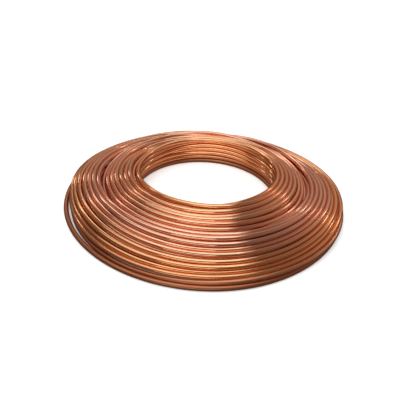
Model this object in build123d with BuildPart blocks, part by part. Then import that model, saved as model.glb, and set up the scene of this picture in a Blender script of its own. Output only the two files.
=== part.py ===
"""Coil of soft copper tube, lying flat on the floor as it comes off its winding drum.

The tube is drawn in one length and wound in many turns. The heap of turns has a straight bore left by the drum,
an inner bank that is highest at the bore and falls away from it, a valley, an outer bank, and a loose flank that
slopes down to the floor.

The coil is one turned solid. Its section is the heap's mean outline, and every turn on the outline is a round bead
of the tube's own diameter, so that the turns show on the top, in the bore, down the flank and underneath.

Frame: Z is the coil's axis and points up, and the origin is on the floor at the middle of the bore. Millimetres.
"""

import os
from math import floor

from build123d import *

# Tube
TUBE_DIAMETER = 6.35

# How far the bottom turns are pressed flat where they bear on the floor
FLOOR_FLAT_DEPTH = 0.1

# Wound coil
BORE_DIAMETER = 200.0
COIL_DIAMETER = 396.0

# Heights from the floor to the top of the tube
BORE_WALL_HEIGHT = 54.6
INNER_BANK_HEIGHT = 51.6
VALLEY_HEIGHT = 33.5
OUTER_BANK_HEIGHT = 39.5

# Widths across the top, each from the middle of one turn to the middle of another
INNER_BANK_WIDTH = 5.8
INNER_SLOPE_WIDTH = 31.5
OUTER_SLOPE_WIDTH = 11.0

TUBE_RADIUS = TUBE_DIAMETER / 2


def turns_along(stretch: Edge) -> list[tuple[float, float]]:
    """Middles of the turns that lie side by side along one stretch of the outline, up to the next corner's turn."""
    spaces = max(1, floor(stretch.length / TUBE_DIAMETER))
    middles = [stretch @ (number / spaces) for number in range(spaces)]
    return [(middle.X, middle.Y) for middle in middles]


# Middles of the turns at the corners of the heap's outline, as radius and height
floor_level = TUBE_RADIUS - FLOOR_FLAT_DEPTH
bore_foot = (BORE_DIAMETER / 2 + TUBE_RADIUS, floor_level)
bore_rim = (bore_foot[0], BORE_WALL_HEIGHT - TUBE_RADIUS)
inner_edge = (bore_rim[0] + INNER_BANK_WIDTH, INNER_BANK_HEIGHT - TUBE_RADIUS)
valley = (inner_edge[0] + INNER_SLOPE_WIDTH, VALLEY_HEIGHT - TUBE_RADIUS)
outer_crest = (valley[0] + OUTER_SLOPE_WIDTH, OUTER_BANK_HEIGHT - TUBE_RADIUS)
flank_foot = (COIL_DIAMETER / 2 - TUBE_RADIUS, floor_level)

with BuildPart() as copper_tube_coil:
    with BuildSketch(Plane.XZ) as section:
        with BuildLine() as heap:
            Polyline(bore_foot, bore_rim, inner_edge, valley, outer_crest, flank_foot, close=True)
        make_face()
        with Locations([middle for stretch in heap.edges() for middle in turns_along(stretch)]):
            Circle(TUBE_RADIUS)
        Rectangle(COIL_DIAMETER, BORE_WALL_HEIGHT, align=(Align.MIN, Align.MIN), mode=Mode.INTERSECT)
    revolve(axis=Axis.Z)

copper_tube_coil.part.label = "copper_tube_coil"

os.makedirs("parts", exist_ok=True)
export_step(copper_tube_coil.part, "parts/copper_tube_coil.step")
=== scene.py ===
"""Coil of soft copper tube lying flat on a pale studio floor.

The tube is one length. It is wound seat by seat up and down through the columns of the heap, starts at the foot of
the bore and ends at the back of the flank. Each turn keeps to its seat and crosses to the next one somewhere on its
way round. Then the turns are let settle against each other, as bent tube does, and get their round meshes.

Sizes of the winding are in millimetres, and everything in the scene is in metres, in the part's own frame: the
coil's axis is Z, the origin is on the floor at the middle of the bore, and the camera looks along +Y.
"""

import logging
import math
from dataclasses import dataclass, field
from enum import Enum

import bpy
import numpy as np
from mathutils import Matrix, Vector

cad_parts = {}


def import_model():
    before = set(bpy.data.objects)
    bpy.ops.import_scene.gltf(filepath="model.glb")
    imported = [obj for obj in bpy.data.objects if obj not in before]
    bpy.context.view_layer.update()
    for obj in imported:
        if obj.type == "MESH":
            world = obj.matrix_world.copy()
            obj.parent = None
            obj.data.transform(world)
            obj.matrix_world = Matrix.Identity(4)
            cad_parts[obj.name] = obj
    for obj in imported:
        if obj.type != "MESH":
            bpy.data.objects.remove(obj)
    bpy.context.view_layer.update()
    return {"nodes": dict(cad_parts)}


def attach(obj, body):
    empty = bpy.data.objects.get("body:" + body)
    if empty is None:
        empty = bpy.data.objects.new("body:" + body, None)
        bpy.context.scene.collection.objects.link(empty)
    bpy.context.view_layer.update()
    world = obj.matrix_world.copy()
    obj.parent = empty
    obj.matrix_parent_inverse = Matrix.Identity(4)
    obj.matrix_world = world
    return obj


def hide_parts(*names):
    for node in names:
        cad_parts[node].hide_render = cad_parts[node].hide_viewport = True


MM = 0.001
NODE = "copper_tube_coil"

log = logging.getLogger("coil")


def linear(hex_colour: str) -> tuple[float, float, float, float]:
    """Turns an sRGB colour into the linear one that shaders take.

    Args:
        hex_colour: The colour as six hex digits with a leading hash.

    Returns:
        Linear red, green, blue and a full alpha.
    """
    parts = [int(hex_colour[place : place + 2], 16) / 255 for place in (1, 3, 5)]
    red, green, blue = (p / 12.92 if p <= 0.04045 else ((p + 0.055) / 1.055) ** 2.4 for p in parts)
    return red, green, blue, 1.0


def add_node(
    tree: bpy.types.NodeTree, kind: str, settings: dict | None = None, links: dict | None = None
) -> bpy.types.Node:
    """Adds one node to a tree, sets it up and links it.

    Args:
        tree: The node tree that gets the node.
        kind: The node's type name.
        settings: Values by name. A name that is one of the node's properties sets it, any other sets that input.
        links: Output sockets by the name or number of the input that they feed.

    Returns:
        The new node.
    """
    node = tree.nodes.new(kind)
    for name, value in (settings or {}).items():
        if isinstance(name, str) and hasattr(node, name):
            setattr(node, name, value)
        else:
            node.inputs[name].default_value = value
    for name, socket in (links or {}).items():
        tree.links.new(socket, node.inputs[name])
    return node


@dataclass(frozen=True)
class Around:
    """A length that changes smoothly round the coil, in millimetres.

    The four values hold at the front, right, back and left. skew and pinch shape it between those, and sag takes
    off between the sides and the back only.
    """

    front: float
    right: float
    back: float
    left: float
    skew: float = 0.0
    pinch: float = 0.0
    sag: float = 0.0

    def at(self, azimuth: np.ndarray) -> np.ndarray:
        """Works the length out at given azimuths.

        Args:
            azimuth: Angles in radians, from the right and counterclockwise seen from above.

        Returns:
            The length at each angle.
        """
        middle = (self.front + self.right + self.back + self.left) / 4
        across = (self.right - self.left) / 2
        along = (self.back - self.front) / 2
        oval = (self.right + self.left - self.front - self.back) / 4
        round_it = middle + across * np.cos(azimuth) + along * np.sin(azimuth) + oval * np.cos(2 * azimuth)
        behind = np.where(np.sin(azimuth) > 0, np.sin(2 * azimuth) ** 2, 0.0)
        shaped = round_it + self.skew * np.sin(2 * azimuth) + self.pinch * (np.cos(4 * azimuth) - 1)
        return shaped - self.sag * behind


@dataclass(frozen=True)
class Column:
    """One column of turns that lie above each other. radius and height are those of its top turn.

    golden says how far its turns were annealed towards a golden colour. layer is the widest step from turn to turn
    down the column, below which it is left empty down to the turn on the floor.
    """

    turns: int
    radius: Around
    height: Around
    golden: float = 0.3
    layer: float = 7.0


@dataclass(frozen=True)
class Tube:
    """The tube's own sizes, in millimetres."""

    diameter: float = 6.35
    wall: float = 0.8
    sides: int = 18

    @property
    def radius(self) -> float:
        """Outer radius."""
        return self.diameter / 2


class Bank(Enum):
    """The parts of the heap, each with its first and last column."""

    BORE_WALL = ("bore_wall_turns", 0, 1)
    INNER_BANK = ("inner_bank_turns", 2, 5)
    VALLEY = ("valley_turns", 6, 8)
    OUTER_BANK = ("outer_bank_turns", 9, 12)
    FLANK = ("flank_turns", 13, 18)


@dataclass
class Heap:
    """The seats that the turns lie in, column by column from the bore outwards."""

    tube: Tube
    bore: Around = Around(100.0, 103.3, 107.6, 102.6)
    # Radius of the outermost column's foot, and height of the foot of every second column.
    foot_span: float = 192.0
    raised_foot: float = 6.6
    columns: tuple[Column, ...] = (
        Column(7, Around(98.6, 101.2, 112.0, 94.5), Around(50.6, 44.5, 34.5, 40.0), golden=0.8, layer=7.9),
        Column(5, Around(104.8, 107.4, 118.0, 100.4), Around(49.7, 44.5, 33.0, 41.0), golden=0.6),
        Column(5, Around(111.0, 113.6, 123.5, 106.2), Around(48.8, 43.0, 30.0, 41.0), golden=0.5),
        Column(5, Around(116.6, 119.6, 128.0, 112.0), Around(44.8, 41.0, 26.0, 40.5), golden=0.4),
        Column(4, Around(122.8, 125.2, 132.8, 118.0), Around(45.8, 38.5, 21.5, 40.0), golden=0.4),
        Column(4, Around(128.8, 130.8, 138.5, 124.0), Around(43.6, 34.0, 27.7, 38.0), golden=0.3),
        Column(4, Around(133.6, 136.4, 144.5, 130.0), Around(39.5, 28.0, 29.6, 35.5), golden=0.2),
        Column(4, Around(139.2, 150.5, 150.7, 136.6), Around(37.4, 31.5, 27.0, 32.0, sag=3.0), golden=0.0),
        Column(4, Around(144.8, 142.0, 156.3, 142.5), Around(32.5, 22.0, 24.5, 27.0), golden=0.0),
        Column(3, Around(150.6, 156.4, 161.0, 148.6), Around(39.2, 32.8, 21.8, 36.0, sag=6.0), golden=0.0),
        Column(3, Around(155.8, 162.2, 165.2, 154.8), Around(34.8, 33.0, 19.6, 38.0, sag=8.0), golden=0.0),
        Column(2, Around(157.0, 168.0, 169.4, 161.2), Around(28.2, 31.0, 17.6, 37.5, sag=9.0), golden=0.1),
        Column(2, Around(165.0, 173.6, 173.8, 168.0), Around(26.9, 28.8, 15.6, 35.5, sag=9.0), golden=0.3),
        Column(2, Around(170.6, 178.8, 177.8, 174.6), Around(20.8, 26.0, 13.6, 32.5, sag=9.0), golden=0.6),
        Column(2, Around(175.4, 183.4, 181.8, 180.6), Around(17.0, 22.5, 11.6, 28.0, sag=8.0), golden=0.8),
        Column(1, Around(177.2, 187.4, 185.0, 185.2), Around(10.6, 18.0, 8.7, 22.0, sag=6.0), golden=0.8),
        Column(1, Around(184.7, 190.6, 191.2, 186.6), Around(10.2, 13.2, 8.4, 14.5, sag=3.0), golden=0.8),
        Column(1, Around(189.3, 192.2, 188.2, 184.6), Around(5.0, 8.0, 3.2, 3.2), golden=0.6),
        Column(1, Around(194.6, 194.0, 194.6, 194.6, skew=0.8, pinch=1.3), Around(3.2, 3.6, 3.2, 3.2), golden=0.4),
    )

    def seats(self) -> list[tuple[int, int]]:
        """Lists the seats in the order in which the tube fills them, up one column and down the next.

        Returns:
            Each seat's column and its place in the column, counted from the floor.
        """
        order = []
        for number, column in enumerate(self.columns):
            places = range(column.turns)
            order += [(number, place) for place in (places if number % 2 == 0 else reversed(places))]
        return order

    def middles(self, azimuth: np.ndarray) -> np.ndarray:
        """Works out the middles of all seats at given azimuths.

        Args:
            azimuth: Angles in radians.

        Returns:
            Radius and height in millimetres, one row a seat in the tube's order, one column an azimuth.
        """
        bore = self.bore.at(azimuth)
        rows = []
        for number, place in self.seats():
            column = self.columns[number]
            foot_radius = bore + (self.foot_span - bore) / (len(self.columns) - 1) * number
            # Every second column starts in the hollow between the lowest turns beside it.
            foot_height = self.tube.radius if number % 2 == 0 else self.raised_foot
            room = column.height.at(azimuth) - foot_height
            step = np.minimum(column.layer, room / max(column.turns - 1, 1))
            below = (column.turns - 1 - place) * step
            # The lowest of three or more turns rests at the foot, whatever gap that leaves above it.
            rests = place == 0 and column.turns > 2
            height = np.full_like(azimuth, foot_height) if rests else column.height.at(azimuth) - below
            share = (height - foot_height) / room
            radius = foot_radius + (column.radius.at(azimuth) - foot_radius) * share
            # Where the column is lower than its turns stack, every second one has given way outwards.
            if (column.turns - 1 - place) % 2:
                radius += np.sqrt(np.maximum(0, self.tube.diameter**2 - step**2))
            rows.append(np.stack([radius, height], axis=-1))
        return np.array(rows)


@dataclass
class Winding:
    """The tube's middle line through the heap, settled so that the turns lie against each other."""

    heap: Heap
    tube: Tube
    # Azimuth at which the tube starts, and how much of its last turn is cut off.
    start: float = math.radians(285)
    trimmed: float = math.radians(195)
    # Points to a turn, passes of settling, and how many waves to a turn the tube can follow before it is too stiff.
    steps: int = 180
    passes: int = 260
    stiffness: float = 11.0
    # How far out and how high the tube's middle may come.
    outer_limit: float = 194.7
    top_limit: float = 51.3
    # The tube is made darker and rougher near the floor: up to which height, and how fast it gets darker below that.
    darkening_height: float = 13.0
    darkening_gain: float = 1.6
    # Azimuths at which the turns cross, in degrees: in the first column, in the inner ones and in the outer ones.
    crossing_at: tuple[float, float, float] = (276.0, 105.0, 88.0)
    last_inner_column: int = 7
    # How far those spread from column to column and from turn to turn, and half the length of a crossing, in degrees.
    column_drift: float = 10.0
    turn_drift: float = 6.0
    crossing_reach: tuple[float, float] = (18.0, 34.0)
    # A turn's own waves, once, twice and three times round, and how much of them shows aside and upward. The first
    # column shows only a share of that aside.
    wave_sizes: tuple[float, float, float] = (0.6, 0.5, 0.4)
    top_sway: tuple[float, float] = (0.7, 0.42)
    hidden_sway: tuple[float, float] = (0.35, 0.3)
    bore_sway_share: float = 0.3
    # How far the bore's wall may give inwards.
    bore_give: float = 1.5
    # How the turns settle in one pass: how well a seat holds its turn, how much of an overlap each of two turns gives
    # way, how far they sink, and over which share of the passes the seats let go.
    top_hold: float = 0.22
    hidden_hold: float = 0.02
    push_share: float = 0.45
    sink: float = 0.01
    eased_share: float = 0.8
    # After how many passes near turns are looked for again, and how wide the gap between two of them may be.
    search_every: int = 15
    search_gap: float = 2.5
    seed: int = 7
    turns: int = field(init=False)
    angle: np.ndarray = field(init=False)
    golden: np.ndarray = field(init=False)
    rubbed: np.ndarray = field(init=False)
    line: np.ndarray = field(init=False)

    def __post_init__(self) -> None:
        """Lays the tube in its seats and lets it settle."""
        self.turns = len(self.heap.seats())
        points = self.turns * self.steps - int(self.trimmed / math.tau * self.steps)
        self.angle = math.tau * np.arange(points) / self.steps
        laid, on_top, self.golden = self._lay()
        self.line = self._settle(laid, on_top)
        # Darker and rougher towards the floor, by the settled height of the middle line.
        self.rubbed = np.clip((self.darkening_height - self.line[:, 1]) / self.darkening_height * self.darkening_gain, 0, 1)

    @property
    def azimuth(self) -> np.ndarray:
        """Azimuth of every point of the line, in radians."""
        return self.start + self.angle

    def _crossings(self, rng: np.random.Generator) -> tuple[np.ndarray, np.ndarray]:
        """Chooses where the tube crosses from each seat to the next.

        Args:
            rng: The seeded source of the spread between turns.

        Returns:
            The angle along the tube of each crossing's middle, and half its length, both in radians.
        """
        # The turns of one column cross together, so that no column has a turn too many for long.
        drift = rng.uniform(-self.column_drift, self.column_drift, len(self.heap.columns))
        first, inner, outer = self.crossing_at
        middles = []
        for number, _ in self.heap.seats():
            place = first if number == 0 else inner if number <= self.last_inner_column else outer
            place += drift[number] + rng.uniform(-self.turn_drift, self.turn_drift)
            middles.append(math.radians(place) - self.start)
        middles = math.tau * np.arange(1, self.turns + 1) + np.array(middles)
        return middles, np.radians(rng.uniform(*self.crossing_reach, self.turns))

    def _lay(self) -> tuple[np.ndarray, np.ndarray, np.ndarray]:
        """Follows the seats and the crossings between them.

        Returns:
            Radius and height along the tube, whether the tube lies on top of its column there, and how golden it is.
        """
        rng = np.random.default_rng(self.seed)
        crossings, half = self._crossings(rng)
        passed = np.zeros(len(self.angle))
        for middle, reach in zip(crossings[:-1], half[:-1]):
            t = np.clip((self.angle - middle + reach) / (2 * reach), 0, 1)
            passed += t**3 * (t * (6 * t - 15) + 10)
        seats = self.heap.seats()
        tops = np.array([place == self.heap.columns[number].turns - 1 for number, place in seats])
        columns = np.array([number for number, _ in seats])
        sway = self._sway(rng, tops, columns)
        one_turn = self.start + math.tau * np.arange(self.steps) / self.steps
        seated = self.heap.middles(one_turn) + sway
        here = np.floor(passed).astype(int)
        there = np.minimum(here + 1, self.turns - 1)
        step = np.arange(len(self.angle)) % self.steps
        share = (passed - here)[:, None]
        laid = seated[here, step] * (1 - share) + seated[there, step] * share
        golden = np.array([self.heap.columns[number].golden for number in columns])
        glow = golden[here] * (1 - share[:, 0]) + golden[there] * share[:, 0]
        return laid, tops[here] | tops[there], glow

    def _sway(self, rng: np.random.Generator, tops: np.ndarray, columns: np.ndarray) -> np.ndarray:
        """Makes the small waves that every turn has of its own, larger where it lies free.

        Args:
            rng: The seeded source of the waves.
            tops: Which seats are on top of their column.
            columns: Each seat's column.

        Returns:
            Offsets in radius and height, for each seat and step of one turn.
        """
        azimuth = self.start + math.tau * np.arange(self.steps) / self.steps
        phase = rng.uniform(0, math.tau, (self.turns, 2, 3))
        size = rng.normal(0, 1, (self.turns, 2, 3)) * np.array(self.wave_sizes)
        waves = sum(size[:, :, h, None] * np.cos((h + 1) * azimuth + phase[:, :, h, None]) for h in range(3))
        aside = np.where(tops, self.top_sway[0], self.hidden_sway[0])
        aside = aside * np.where(columns == 0, self.bore_sway_share, 1.0)
        upward = np.where(tops, self.top_sway[1], self.hidden_sway[1])
        return np.stack([waves[:, 0] * aside[:, None], waves[:, 1] * upward[:, None]], axis=-1)

    def _neighbours(self, line: np.ndarray) -> tuple[np.ndarray, np.ndarray]:
        """Finds the turns that lie near each other on the same side of the coil.

        Args:
            line: Radius and height along the tube.

        Returns:
            Two arrays of point numbers, one entry for each near pair.
        """
        padded = np.full((self.turns * self.steps, 2), np.nan)
        padded[: len(line)] = line
        slices = padded.reshape(self.turns, self.steps, 2).transpose(1, 0, 2)
        apart = np.linalg.norm(slices[:, :, None] - slices[:, None], axis=-1)
        number = np.arange(self.turns)
        near = (apart < self.tube.diameter + self.search_gap) & (number[:, None] < number[None, :])
        step, first, second = np.nonzero(near)
        return first * self.steps + step, second * self.steps + step

    def _straighten(self, line: np.ndarray) -> np.ndarray:
        """Takes out bends that are too short for the tube.

        Args:
            line: Radius and height along the tube.

        Returns:
            The same line with its short waves gone.
        """
        points = len(line)
        mirrored = np.concatenate([2 * line[0] - line[::-1], line, 2 * line[-1] - line[::-1]])
        waves = np.fft.rfftfreq(3 * points, d=1 / self.steps)
        kept = np.fft.rfft(mirrored, axis=0) / (1 + (waves / self.stiffness) ** 4)[:, None]
        return np.fft.irfft(kept, n=3 * points, axis=0)[points : 2 * points]

    def _held(self, line: np.ndarray) -> np.ndarray:
        """Keeps the line on the floor, outside the bore and inside the coil's own size.

        Args:
            line: Radius and height along the tube.

        Returns:
            The line within its limits.
        """
        height = np.clip(line[:, 1], self.tube.radius, self.top_limit)
        foot, rim = self.heap.bore.at(self.azimuth), self.heap.columns[0]
        share = np.clip((height - self.tube.radius) / (rim.height.at(self.azimuth) - self.tube.radius), 0, 1)
        inner = foot + (rim.radius.at(self.azimuth) - foot) * share - self.bore_give
        radius = np.clip(line[:, 0], inner, self.outer_limit)
        return np.stack([radius, height], axis=-1)

    def _settle(self, laid: np.ndarray, on_top: np.ndarray) -> np.ndarray:
        """Pushes turns apart where they overlap and lets them spring back to their seats elsewhere.

        Args:
            laid: Radius and height along the tube as laid.
            on_top: Whether the tube lies on top there, where it holds its place better.

        Returns:
            The settled radius and height.
        """
        line = laid.copy()
        points = len(line)
        hold = np.where(on_top, self.top_hold, self.hidden_hold)[:, None]
        for number in range(self.passes):
            if number % self.search_every == 0:
                first, second = self._neighbours(line)
            gap = line[first] - line[second]
            apart = np.linalg.norm(gap, axis=-1) + 1e-9
            push = gap * (self.push_share * np.maximum(0, self.tube.diameter - apart) / apart)[:, None]
            for axis in (0, 1):
                line[:, axis] += np.bincount(first, push[:, axis], points)
                line[:, axis] -= np.bincount(second, push[:, axis], points)
            ease = max(0.0, 1 - number / (self.passes * self.eased_share))
            line += (laid - line) * hold * ease
            line[:, 1] -= self.sink * ease
            line = self._straighten(self._held(line))
        return self._held(line)

    def points(self) -> np.ndarray:
        """Turns the settled line into places in space.

        Returns:
            The middle line, in metres.
        """
        radius, height = self.line.T
        x, y = radius * np.cos(self.azimuth), radius * np.sin(self.azimuth)
        return np.stack([x, y, height], axis=-1) * MM

    def first_point(self, column: int) -> int:
        """Number of the point where the tube starts its first turn in a column."""
        return sum(c.turns for c in self.heap.columns[:column]) * self.steps


@dataclass
class TubeRun:
    """The round skin of the tube along its middle line, made in stretches."""

    tube: Tube
    middle: np.ndarray
    looks: dict[str, np.ndarray]
    # How deep the tube's bore is made behind a sawn end, and how wide the end's broken edges are.
    saw_depth: float = 24.0
    saw_edge: float = 0.15
    # How far to each side of an end's ring its direction is taken from.
    sight: float = 2.0
    sharp_angle: float = math.radians(35)
    length: np.ndarray = field(init=False)

    def __post_init__(self) -> None:
        """Measures the line from its start, in metres."""
        steps = np.linalg.norm(np.diff(self.middle, axis=0), axis=1)
        self.length = np.concatenate([[0.0], np.cumsum(steps)])

    def _ring(self, at: float, radius: float) -> tuple[np.ndarray, np.ndarray]:
        """Makes one ring of vertices square to the tube.

        Args:
            at: Length along the tube in metres.
            radius: The ring's radius in metres.

        Returns:
            The vertices, and their place in the drawn tube: length along it and the two cross ways, in metres.
        """
        centre = np.array([np.interp(at, self.length, self.middle[:, axis]) for axis in range(3)])
        ends = [
            np.array([np.interp(at + way * self.sight * MM, self.length, self.middle[:, axis]) for axis in range(3)])
            for way in (-1, 1)
        ]
        forward = (ends[1] - ends[0]) / np.linalg.norm(ends[1] - ends[0])
        return self._round(centre, forward, at, radius)

    def _round(
        self, centre: np.ndarray, forward: np.ndarray, at: float, radius: float
    ) -> tuple[np.ndarray, np.ndarray]:
        """Places a ring's vertices round a point.

        Args:
            centre: The ring's middle.
            forward: Unit vector along the tube.
            at: Length along the tube in metres.
            radius: The ring's radius in metres.

        Returns:
            The vertices and their place in the drawn tube.
        """
        side = np.cross(forward, (0.0, 0.0, 1.0))
        side /= np.linalg.norm(side)
        upright = np.cross(side, forward)
        turn = math.tau * np.arange(self.tube.sides) / self.tube.sides
        across, up = radius * np.cos(turn), radius * np.sin(turn)
        places = centre + across[:, None] * side + up[:, None] * upright
        return places, np.stack([np.full_like(turn, at), across, up], axis=-1)

    def _body(self, first: int, last: int) -> list[tuple[np.ndarray, np.ndarray]]:
        """Makes the rings of the outer skin from one point of the line to another.

        Args:
            first: First point of the line.
            last: Last point of the line.

        Returns:
            The rings in order.
        """
        forward = np.gradient(self.middle, axis=0)
        forward /= np.linalg.norm(forward, axis=1)[:, None]
        radius = self.tube.radius * MM
        return [self._round(self.middle[n], forward[n], self.length[n], radius) for n in range(first, last + 1)]

    def _sawn(self, at: float, inward: int) -> list[tuple[np.ndarray, np.ndarray]]:
        """Makes the rings of an open end: the bore's skin, the sawn face of the wall and its broken edges.

        Args:
            at: Length along the tube of the end, in metres.
            inward: 1 where the tube goes on with growing length, -1 where it goes back.

        Returns:
            The rings in order from deep inside the bore to the outer skin.
        """
        outer, inner = self.tube.radius, self.tube.radius - self.tube.wall
        shape = [
            (self.saw_depth, inner),
            (self.saw_depth / 2, inner),
            (self.saw_edge, inner),
            (0.0, inner + self.saw_edge),
            (0.0, outer - self.saw_edge),
            (self.saw_edge, outer),
        ]
        return [self._ring(at + inward * depth * MM, radius * MM) for depth, radius in shape]

    def stretch(self, name: str, first: int, last: int) -> bpy.types.Object:
        """Makes the mesh of one stretch of tube.

        Args:
            name: The piece's name.
            first: First point of the line.
            last: Last point of the line.

        Returns:
            The new object, closed at both ends.
        """
        starts, stops = first == 0, last == len(self.middle) - 1
        rings = self._body(first + starts, last - stops)
        if starts:
            rings = self._sawn(0.0, 1) + rings
        if stops:
            rings = rings + self._sawn(self.length[-1], -1)[::-1]
        places = np.concatenate([ring[0] for ring in rings])
        drawn = np.concatenate([ring[1] for ring in rings])
        sides = self.tube.sides
        row, around = np.meshgrid(np.arange(len(rings) - 1), np.arange(sides), indexing="ij")
        beside = (around + 1) % sides
        corners = (row * sides + around, row * sides + beside, (row + 1) * sides + beside, (row + 1) * sides + around)
        quads = np.stack(corners, axis=-1).reshape(-1, 4)
        last_ring = (len(rings) - 1) * sides
        caps = [list(reversed(range(sides))), list(range(last_ring, last_ring + sides))]
        mesh = bpy.data.meshes.new(name)
        mesh.from_pydata(places.tolist(), [], quads.tolist() + caps)
        mesh.shade_smooth()
        mesh.attributes.new("drawn", "FLOAT_VECTOR", "POINT").data.foreach_set("vector", drawn.ravel())
        for look, along in self.looks.items():
            values = np.interp(drawn[:, 0], self.length, along)
            mesh.attributes.new(look, "FLOAT", "POINT").data.foreach_set("value", values)
        mesh.set_sharp_from_angle(angle=self.sharp_angle)
        mesh.update()
        piece = bpy.data.objects.new(name, mesh)
        bpy.context.scene.collection.objects.link(piece)
        return piece


@dataclass(frozen=True)
class SoftDrawnCopper:
    """Soft copper tube, drawn through a die and annealed bright.

    The die leaves fine lines along the tube, which stretch its reflections lengthwise. Annealing and handling leave
    it a little warmer and duller in patches, so that the eye sees clean metal with a slightly uneven glow.
    """

    rosy: str = "#F8C1A4"
    golden: str = "#FCBC80"
    warm: str = "#EA9C74"
    dull: str = "#A9623F"
    roughness: tuple[float, float] = (0.10, 0.20)
    # Roughness added where the tube is made darker towards the floor.
    near_floor_roughness: float = 0.26
    # How far patches go to the warm colour, and lines and places near the floor to the dull one.
    patch_warmth: float = 0.7
    line_dullness: float = 0.4
    near_floor_darkness: float = 0.8
    # Real draw lines are about 0.1 mm apart. They are drawn eight times as coarse, so that they show.
    line_spacing: float = 0.8
    line_length: float = 90.0
    patch_length: float = 60.0
    patch_width: float = 7.0
    dent_length: float = 26.0
    dent_width: float = 3.4
    # Depths of the bumps that lines and dents make, in millimetres, and how strongly they show.
    groove_depth: float = 0.012
    groove_strength: float = 0.2
    wave_depth: float = 0.03
    wave_strength: float = 0.3

    def _pattern(
        self, tree: bpy.types.NodeTree, drawn: bpy.types.NodeSocket, length: float, width: float, detail: float
    ) -> bpy.types.NodeSocket:
        """Adds a noise that is stretched along the tube.

        Args:
            tree: The material's node tree.
            drawn: Place in the drawn tube, in metres.
            length: Size of the pattern along the tube, in millimetres.
            width: Size of the pattern across the tube, in millimetres.
            detail: How many finer layers the noise has.

        Returns:
            The noise's value, about 0 to 1.
        """
        scale = (1 / (length * MM), 1 / (width * MM), 1 / (width * MM))
        scaled = add_node(tree, "ShaderNodeMapping", {"Scale": scale}, {"Vector": drawn})
        settings = {"Scale": 1.0, "Detail": detail, "Roughness": 0.55}
        noise = add_node(tree, "ShaderNodeTexNoise", settings, {"Vector": scaled.outputs["Vector"]})
        return noise.outputs["Fac"]

    def make(self) -> bpy.types.Material:
        """Builds the material.

        Returns:
            The material for all of the tube.
        """
        material = bpy.data.materials.new("soft_drawn_copper")
        material.use_nodes = True
        tree = material.node_tree
        shader = tree.nodes["Principled BSDF"]
        shader.inputs["Metallic"].default_value = 1.0
        drawn = add_node(tree, "ShaderNodeAttribute", {"attribute_name": "drawn"}).outputs["Vector"]
        lines = self._pattern(tree, drawn, self.line_length, self.line_spacing, 2.0)
        patches = self._pattern(tree, drawn, self.patch_length, self.patch_width, 3.0)
        dents = self._pattern(tree, drawn, self.dent_length, self.dent_width, 2.0)

        golden = add_node(tree, "ShaderNodeAttribute", {"attribute_name": "golden"}).outputs["Fac"]
        # How far the tube is made darker and rougher towards the floor.
        rubbed = add_node(tree, "ShaderNodeAttribute", {"attribute_name": "rubbed"}).outputs["Fac"]
        annealed = add_node(
            tree,
            "ShaderNodeMix",
            {"data_type": "RGBA", 6: linear(self.rosy), 7: linear(self.golden)},
            {0: golden},
        ).outputs[2]
        warmth = add_node(
            tree,
            "ShaderNodeMapRange",
            {"From Min": 0.45, "From Max": 0.75, "To Max": self.patch_warmth},
            {"Value": patches},
        ).outputs["Result"]
        patchy = add_node(
            tree, "ShaderNodeMix", {"data_type": "RGBA", 7: linear(self.warm)}, {0: warmth, 6: annealed}
        ).outputs[2]
        lined = add_node(
            tree,
            "ShaderNodeMapRange",
            {"From Min": 0.62, "From Max": 0.80, "To Max": self.line_dullness},
            {"Value": lines},
        ).outputs["Result"]
        dullness = add_node(
            tree,
            "ShaderNodeMath",
            {"operation": "MULTIPLY_ADD", 1: self.near_floor_darkness, "use_clamp": True},
            {0: rubbed, 2: lined},
        ).outputs["Value"]
        colour = add_node(
            tree, "ShaderNodeMix", {"data_type": "RGBA", 7: linear(self.dull)}, {0: dullness, 6: patchy}
        ).outputs[2]
        tree.links.new(colour, shader.inputs["Base Color"])

        low, high = self.roughness
        rough = add_node(
            tree,
            "ShaderNodeMapRange",
            {"From Min": 0.35, "From Max": 0.75, "To Min": low, "To Max": high},
            {"Value": patches},
        ).outputs["Result"]
        worn = add_node(
            tree, "ShaderNodeMath", {"operation": "MULTIPLY_ADD", 1: self.near_floor_roughness}, {0: rubbed, 2: rough}
        ).outputs["Value"]
        tree.links.new(worn, shader.inputs["Roughness"])

        grooves = add_node(
            tree,
            "ShaderNodeBump",
            {"Strength": self.groove_strength, "Distance": self.groove_depth * MM},
            {"Height": lines},
        ).outputs["Normal"]
        waves = add_node(
            tree,
            "ShaderNodeBump",
            {"Strength": self.wave_strength, "Distance": self.wave_depth * MM},
            {"Height": dents, "Normal": grooves},
        ).outputs["Normal"]
        tree.links.new(waves, shader.inputs["Normal"])
        return material


@dataclass
class Coil:
    """The coil: its winding, its tube and its finish."""

    tube: Tube = field(default_factory=Tube)
    finish: SoftDrawnCopper = field(default_factory=SoftDrawnCopper)

    def build(self) -> list[bpy.types.Object]:
        """Winds the coil and dresses it.

        Returns:
            The coil's pieces, from the bore to the flank.
        """
        winding = Winding(Heap(self.tube), self.tube)
        looks = {"golden": winding.golden, "rubbed": winding.rubbed}
        run = TubeRun(self.tube, winding.points(), looks)
        log.info("tube of %.1f m in %d turns", run.length[-1], winding.turns)
        copper = self.finish.make()
        pieces = []
        for bank in Bank:
            name, first_column, last_column = bank.value
            first = winding.first_point(first_column)
            last = min(winding.first_point(last_column + 1), len(run.middle) - 1)
            piece = run.stretch(name, first, last)
            piece.data.materials.append(copper)
            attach(piece, "root")
            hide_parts(NODE)
            log.info("%s: %d faces", name, len(piece.data.polygons))
            pieces.append(piece)
        return pieces


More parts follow.
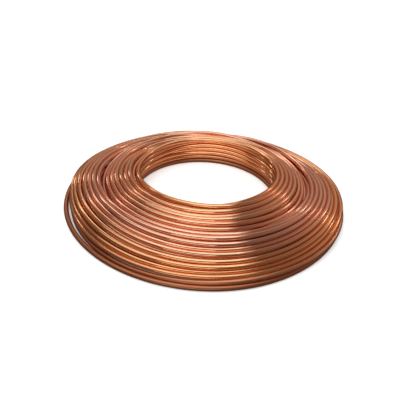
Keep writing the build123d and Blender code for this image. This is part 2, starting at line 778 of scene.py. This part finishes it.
@dataclass(frozen=True)
class PaleFloor:
    """White studio paper off a roll, rough and unglazed, so that the eye sees an even white without gloss."""

    colour: str = "#F4F3F2"
    shade: str = "#EFEEED"
    # The paper is faintly clouded, in patches of about 333 mm.
    cloud_size: float = 1000 / 3
    side: float = 9.0
    glow: float = 0.25
    # What the copper mirrors of it: a bright spot in the coil's eye, and little light round that.
    mirrored: str = "#FFDDCF"
    mirrored_eye: float = 1.35
    mirrored_round: float = 0.125
    eye_radius: tuple[float, float] = (0.05, 0.10)

    def build(self) -> bpy.types.Object:
        """Lays the floor.

        Returns:
            The floor, marked as not part of the coil.
        """
        half = self.side / 2
        mesh = bpy.data.meshes.new("floor")
        corners = [(-half, -half, 0), (half, -half, 0), (half, half, 0), (-half, half, 0)]
        mesh.from_pydata(corners, [], [(0, 1, 2, 3)])
        floor = bpy.data.objects.new("floor", mesh)
        bpy.context.scene.collection.objects.link(floor)
        mesh.materials.append(self._paper())
        return floor

    def _paper(self) -> bpy.types.Material:
        """Builds the paper's material: faintly uneven, and in reflections bright only in the coil's eye.

        Returns:
            The material.
        """
        material = bpy.data.materials.new("studio_paper")
        material.use_nodes = True
        tree = material.node_tree
        shader = tree.nodes["Principled BSDF"]
        shader.inputs["Roughness"].default_value = 0.9
        shader.inputs["Specular IOR Level"].default_value = 0.0
        shader.inputs["Emission Color"].default_value = linear(self.colour)
        shader.inputs["Emission Strength"].default_value = self.glow
        place = add_node(tree, "ShaderNodeTexCoord").outputs["Object"]
        scale = 1 / (self.cloud_size * MM)
        noise = add_node(tree, "ShaderNodeTexNoise", {"Scale": scale}, {"Vector": place}).outputs["Fac"]
        mix = add_node(
            tree,
            "ShaderNodeMix",
            {"data_type": "RGBA", 6: linear(self.colour), 7: linear(self.shade)},
            {0: noise},
        ).outputs[2]
        tree.links.new(mix, shader.inputs["Base Color"])

        outward = add_node(tree, "ShaderNodeVectorMath", {"operation": "LENGTH"}, {0: place}).outputs["Value"]
        (inner, outer), (bright, dim) = self.eye_radius, (self.mirrored_eye, self.mirrored_round)
        strength = add_node(
            tree,
            "ShaderNodeMapRange",
            {"From Min": inner, "From Max": outer, "To Min": bright, "To Max": dim},
            {"Value": outward},
        ).outputs["Result"]
        lit = add_node(tree, "ShaderNodeEmission", {"Color": linear(self.mirrored)}, {"Strength": strength})
        seen = add_node(tree, "ShaderNodeLightPath").outputs["Is Glossy Ray"]
        both = add_node(tree, "ShaderNodeMixShader", links={0: seen, 1: shader.outputs[0], 2: lit.outputs[0]})
        tree.links.new(both.outputs[0], tree.nodes["Material Output"].inputs["Surface"])
        return material


@dataclass(frozen=True)
class Panel:
    """One flat light, in metres, pointed at a target."""

    name: str
    place: tuple[float, float, float]
    width: float
    depth: float
    radiance: float
    target: tuple[float, float, float] = (0.0, 0.0, 0.0)
    turn: float = 0.0
    colour: str = "#FFFFFF"

    def build(self) -> bpy.types.Object:
        """Hangs the light.

        Returns:
            The light.
        """
        data = bpy.data.lights.new(self.name, "AREA")
        data.shape = "RECTANGLE"
        data.size, data.size_y = self.width, self.depth
        data.energy = self.radiance * math.pi * self.width * self.depth
        data.color = linear(self.colour)[:3]
        light = bpy.data.objects.new(self.name, data)
        aim = Vector(self.target) - Vector(self.place)
        facing = aim.to_track_quat("-Z", "Y").to_matrix() @ Matrix.Rotation(self.turn, 3, "Z")
        light.matrix_world = Matrix.Translation(self.place) @ facing.to_4x4()
        bpy.context.scene.collection.objects.link(light)
        return light


@dataclass
class Studio:
    """Soft light round the coil: a softbox overhead, a card in front and one behind, small lamps, a white room."""

    floor: PaleFloor = field(default_factory=PaleFloor)
    box_height: float = 0.62
    box_edge: tuple[float, float] = (0.225, -0.15)
    box_turn: float = math.radians(15)
    box_width: float = 0.55
    box_depth: float = 0.70
    box_radiance: float = 1.3
    # The softbox ends on the right in a narrow rim and goes on to the left. Each has this share of its radiance.
    rim_width: float = 0.05
    rim_share: float = 0.4
    left_width: float = 0.6
    left_share: float = 0.55
    lamp_side: float = 0.16
    lamp_radiance: float = 3.5
    card_radiance: float = 1.6
    back_card_radiance: float = 1.1
    room: str = "#FFFFFF"
    room_strength: float = 0.95
    # What the copper mirrors of the room: the least light, that of the wall and the ceiling, and the shares of it that
    # are left in front and on the left.
    mirrored: str = "#FFDDCF"
    mirrored_floor: float = 0.11
    mirrored_wall: float = 0.36
    mirrored_ceiling: float = 0.10
    mirrored_front: float = 0.28
    mirrored_left: float = 0.5

    def panels(self) -> list[Panel]:
        """Lists the lights.

        Returns:
            The overhead softbox with its dimmer left part and rim, a card in front, one behind, and three lamps.
        """
        leftward = Vector((-math.cos(self.box_turn), -math.sin(self.box_turn)))
        edge = Vector(self.box_edge)
        near = edge + leftward * self.box_width / 2
        far = edge + leftward * (self.box_width + self.left_width / 2)
        rim = edge - leftward * self.rim_width / 2
        height, side = self.box_height, self.lamp_side
        return [
            Panel(
                "softbox",
                (near.x, near.y, height),
                self.box_width,
                self.box_depth,
                self.box_radiance,
                target=(near.x, near.y, 0.0),
                turn=self.box_turn,
            ),
            Panel(
                "softbox_left",
                (far.x, far.y, height),
                self.left_width,
                self.box_depth,
                self.box_radiance * self.left_share,
                target=(far.x, far.y, 0.0),
                turn=self.box_turn,
            ),
            Panel(
                "softbox_rim",
                (rim.x, rim.y, height),
                self.rim_width,
                self.box_depth,
                self.box_radiance * self.rim_share,
                target=(rim.x, rim.y, 0.0),
                turn=self.box_turn,
            ),
            Panel("card", (-0.3, -1.6, 0.2), 1.15, 0.45, self.card_radiance, target=(-0.3, 0.0, 0.2)),
            Panel("back_card", (-0.16, 0.62, height), 0.5, 0.5, self.back_card_radiance, target=(-0.16, 0.62, 0.0)),
            Panel("lamp_left", (-0.92, 1.05, 0.35), side, side, self.lamp_radiance),
            Panel("lamp_right", (0.88, 0.77, 0.77), side, side, self.lamp_radiance),
            Panel("lamp_back", (-0.85, 0.69, 0.87), side, side, self.lamp_radiance),
        ]

    def _mirrored_light(self, tree: bpy.types.NodeTree) -> bpy.types.NodeSocket:
        """Works out how bright the room looks in a reflection: dark low down and in front, brighter up behind.

        Args:
            tree: The world's node tree.

        Returns:
            The strength of the light.
        """
        toward = add_node(tree, "ShaderNodeTexCoord").outputs["Generated"]
        parts = add_node(tree, "ShaderNodeSeparateXYZ", links={"Vector": toward}).outputs
        smooth = {"interpolation_type": "SMOOTHSTEP"}
        wall = add_node(
            tree,
            "ShaderNodeMapRange",
            {**smooth, "From Min": 0.0, "From Max": 0.35, "To Max": self.mirrored_wall},
            {"Value": parts["Z"]},
        ).outputs["Result"]
        ceiling = add_node(
            tree,
            "ShaderNodeMapRange",
            {**smooth, "From Min": 0.55, "From Max": 0.8, "To Max": self.mirrored_wall - self.mirrored_ceiling},
            {"Value": parts["Z"]},
        ).outputs["Result"]
        upward = add_node(tree, "ShaderNodeMath", {"operation": "SUBTRACT"}, {0: wall, 1: ceiling}).outputs["Value"]
        behind = add_node(
            tree,
            "ShaderNodeMapRange",
            {**smooth, "From Min": -0.5, "From Max": 0.4, "To Min": self.mirrored_front},
            {"Value": parts["Y"]},
        ).outputs["Result"]
        left = add_node(
            tree,
            "ShaderNodeMapRange",
            {**smooth, "From Min": -0.7, "From Max": 0.3, "To Min": self.mirrored_left},
            {"Value": parts["X"]},
        ).outputs["Result"]
        sideways = add_node(tree, "ShaderNodeMath", {"operation": "MULTIPLY"}, {0: behind, 1: left}).outputs["Value"]
        settings = {"operation": "MULTIPLY_ADD", 2: self.mirrored_floor}
        return add_node(tree, "ShaderNodeMath", settings, {0: upward, 1: sideways}).outputs["Value"]

    def _room(self) -> None:
        """Makes the world: white when seen directly and for the floor, dim and warm in reflections."""
        world = bpy.data.worlds.new("studio_room")
        world.use_nodes = True
        tree = world.node_tree
        tree.nodes.clear()
        white = add_node(tree, "ShaderNodeBackground", {"Color": linear(self.room), "Strength": self.room_strength})
        strength = self._mirrored_light(tree)
        dusk = add_node(tree, "ShaderNodeBackground", {"Color": linear(self.mirrored)}, {"Strength": strength})
        seen = add_node(tree, "ShaderNodeLightPath").outputs["Is Glossy Ray"]
        both = add_node(tree, "ShaderNodeMixShader", links={0: seen, 1: white.outputs[0], 2: dusk.outputs[0]})
        add_node(tree, "ShaderNodeOutputWorld", links={"Surface": both.outputs[0]})
        bpy.context.scene.world = world

    def build(self) -> None:
        """Lays the floor, hangs the lights and paints the room."""
        self.floor.build()
        for panel in self.panels():
            panel.build()
        self._room()
        view = bpy.context.scene.view_settings
        view.view_transform = "Standard"
        log.info("studio lit")


@dataclass(frozen=True)
class Viewpoint:
    """The camera: straight in front, above the coil, and rolled a little."""

    distance: float = 0.693
    elevation: float = math.radians(32.4)
    roll: float = math.radians(3.3)
    lens: float = 42.87
    shift: tuple[float, float] = (-0.01075, -0.00875)

    def build(self) -> bpy.types.Object:
        """Sets the camera up.

        Returns:
            The scene's camera.
        """
        data = bpy.data.cameras.new("camera")
        data.lens = self.lens
        data.sensor_width = 36.0
        data.shift_x, data.shift_y = self.shift
        data.clip_start, data.clip_end = 0.01, 50.0
        camera = bpy.data.objects.new("camera", data)
        place = Vector((0.0, -math.cos(self.elevation), math.sin(self.elevation))) * self.distance
        facing = (-place).to_track_quat("-Z", "Y").to_matrix() @ Matrix.Rotation(self.roll, 3, "Z")
        camera.matrix_world = Matrix.Translation(place) @ facing.to_4x4()
        bpy.context.scene.collection.objects.link(camera)
        bpy.context.scene.camera = camera
        return camera


def main() -> None:
    """Builds the coil and its studio."""
    logging.basicConfig(level=logging.INFO, format="%(message)s")
    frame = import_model()
    log.info("nodes: %s", ", ".join(sorted(frame["nodes"])))
    Viewpoint().build()
    Coil().build()
    Studio().build()


if __name__ == "__main__":
    main()
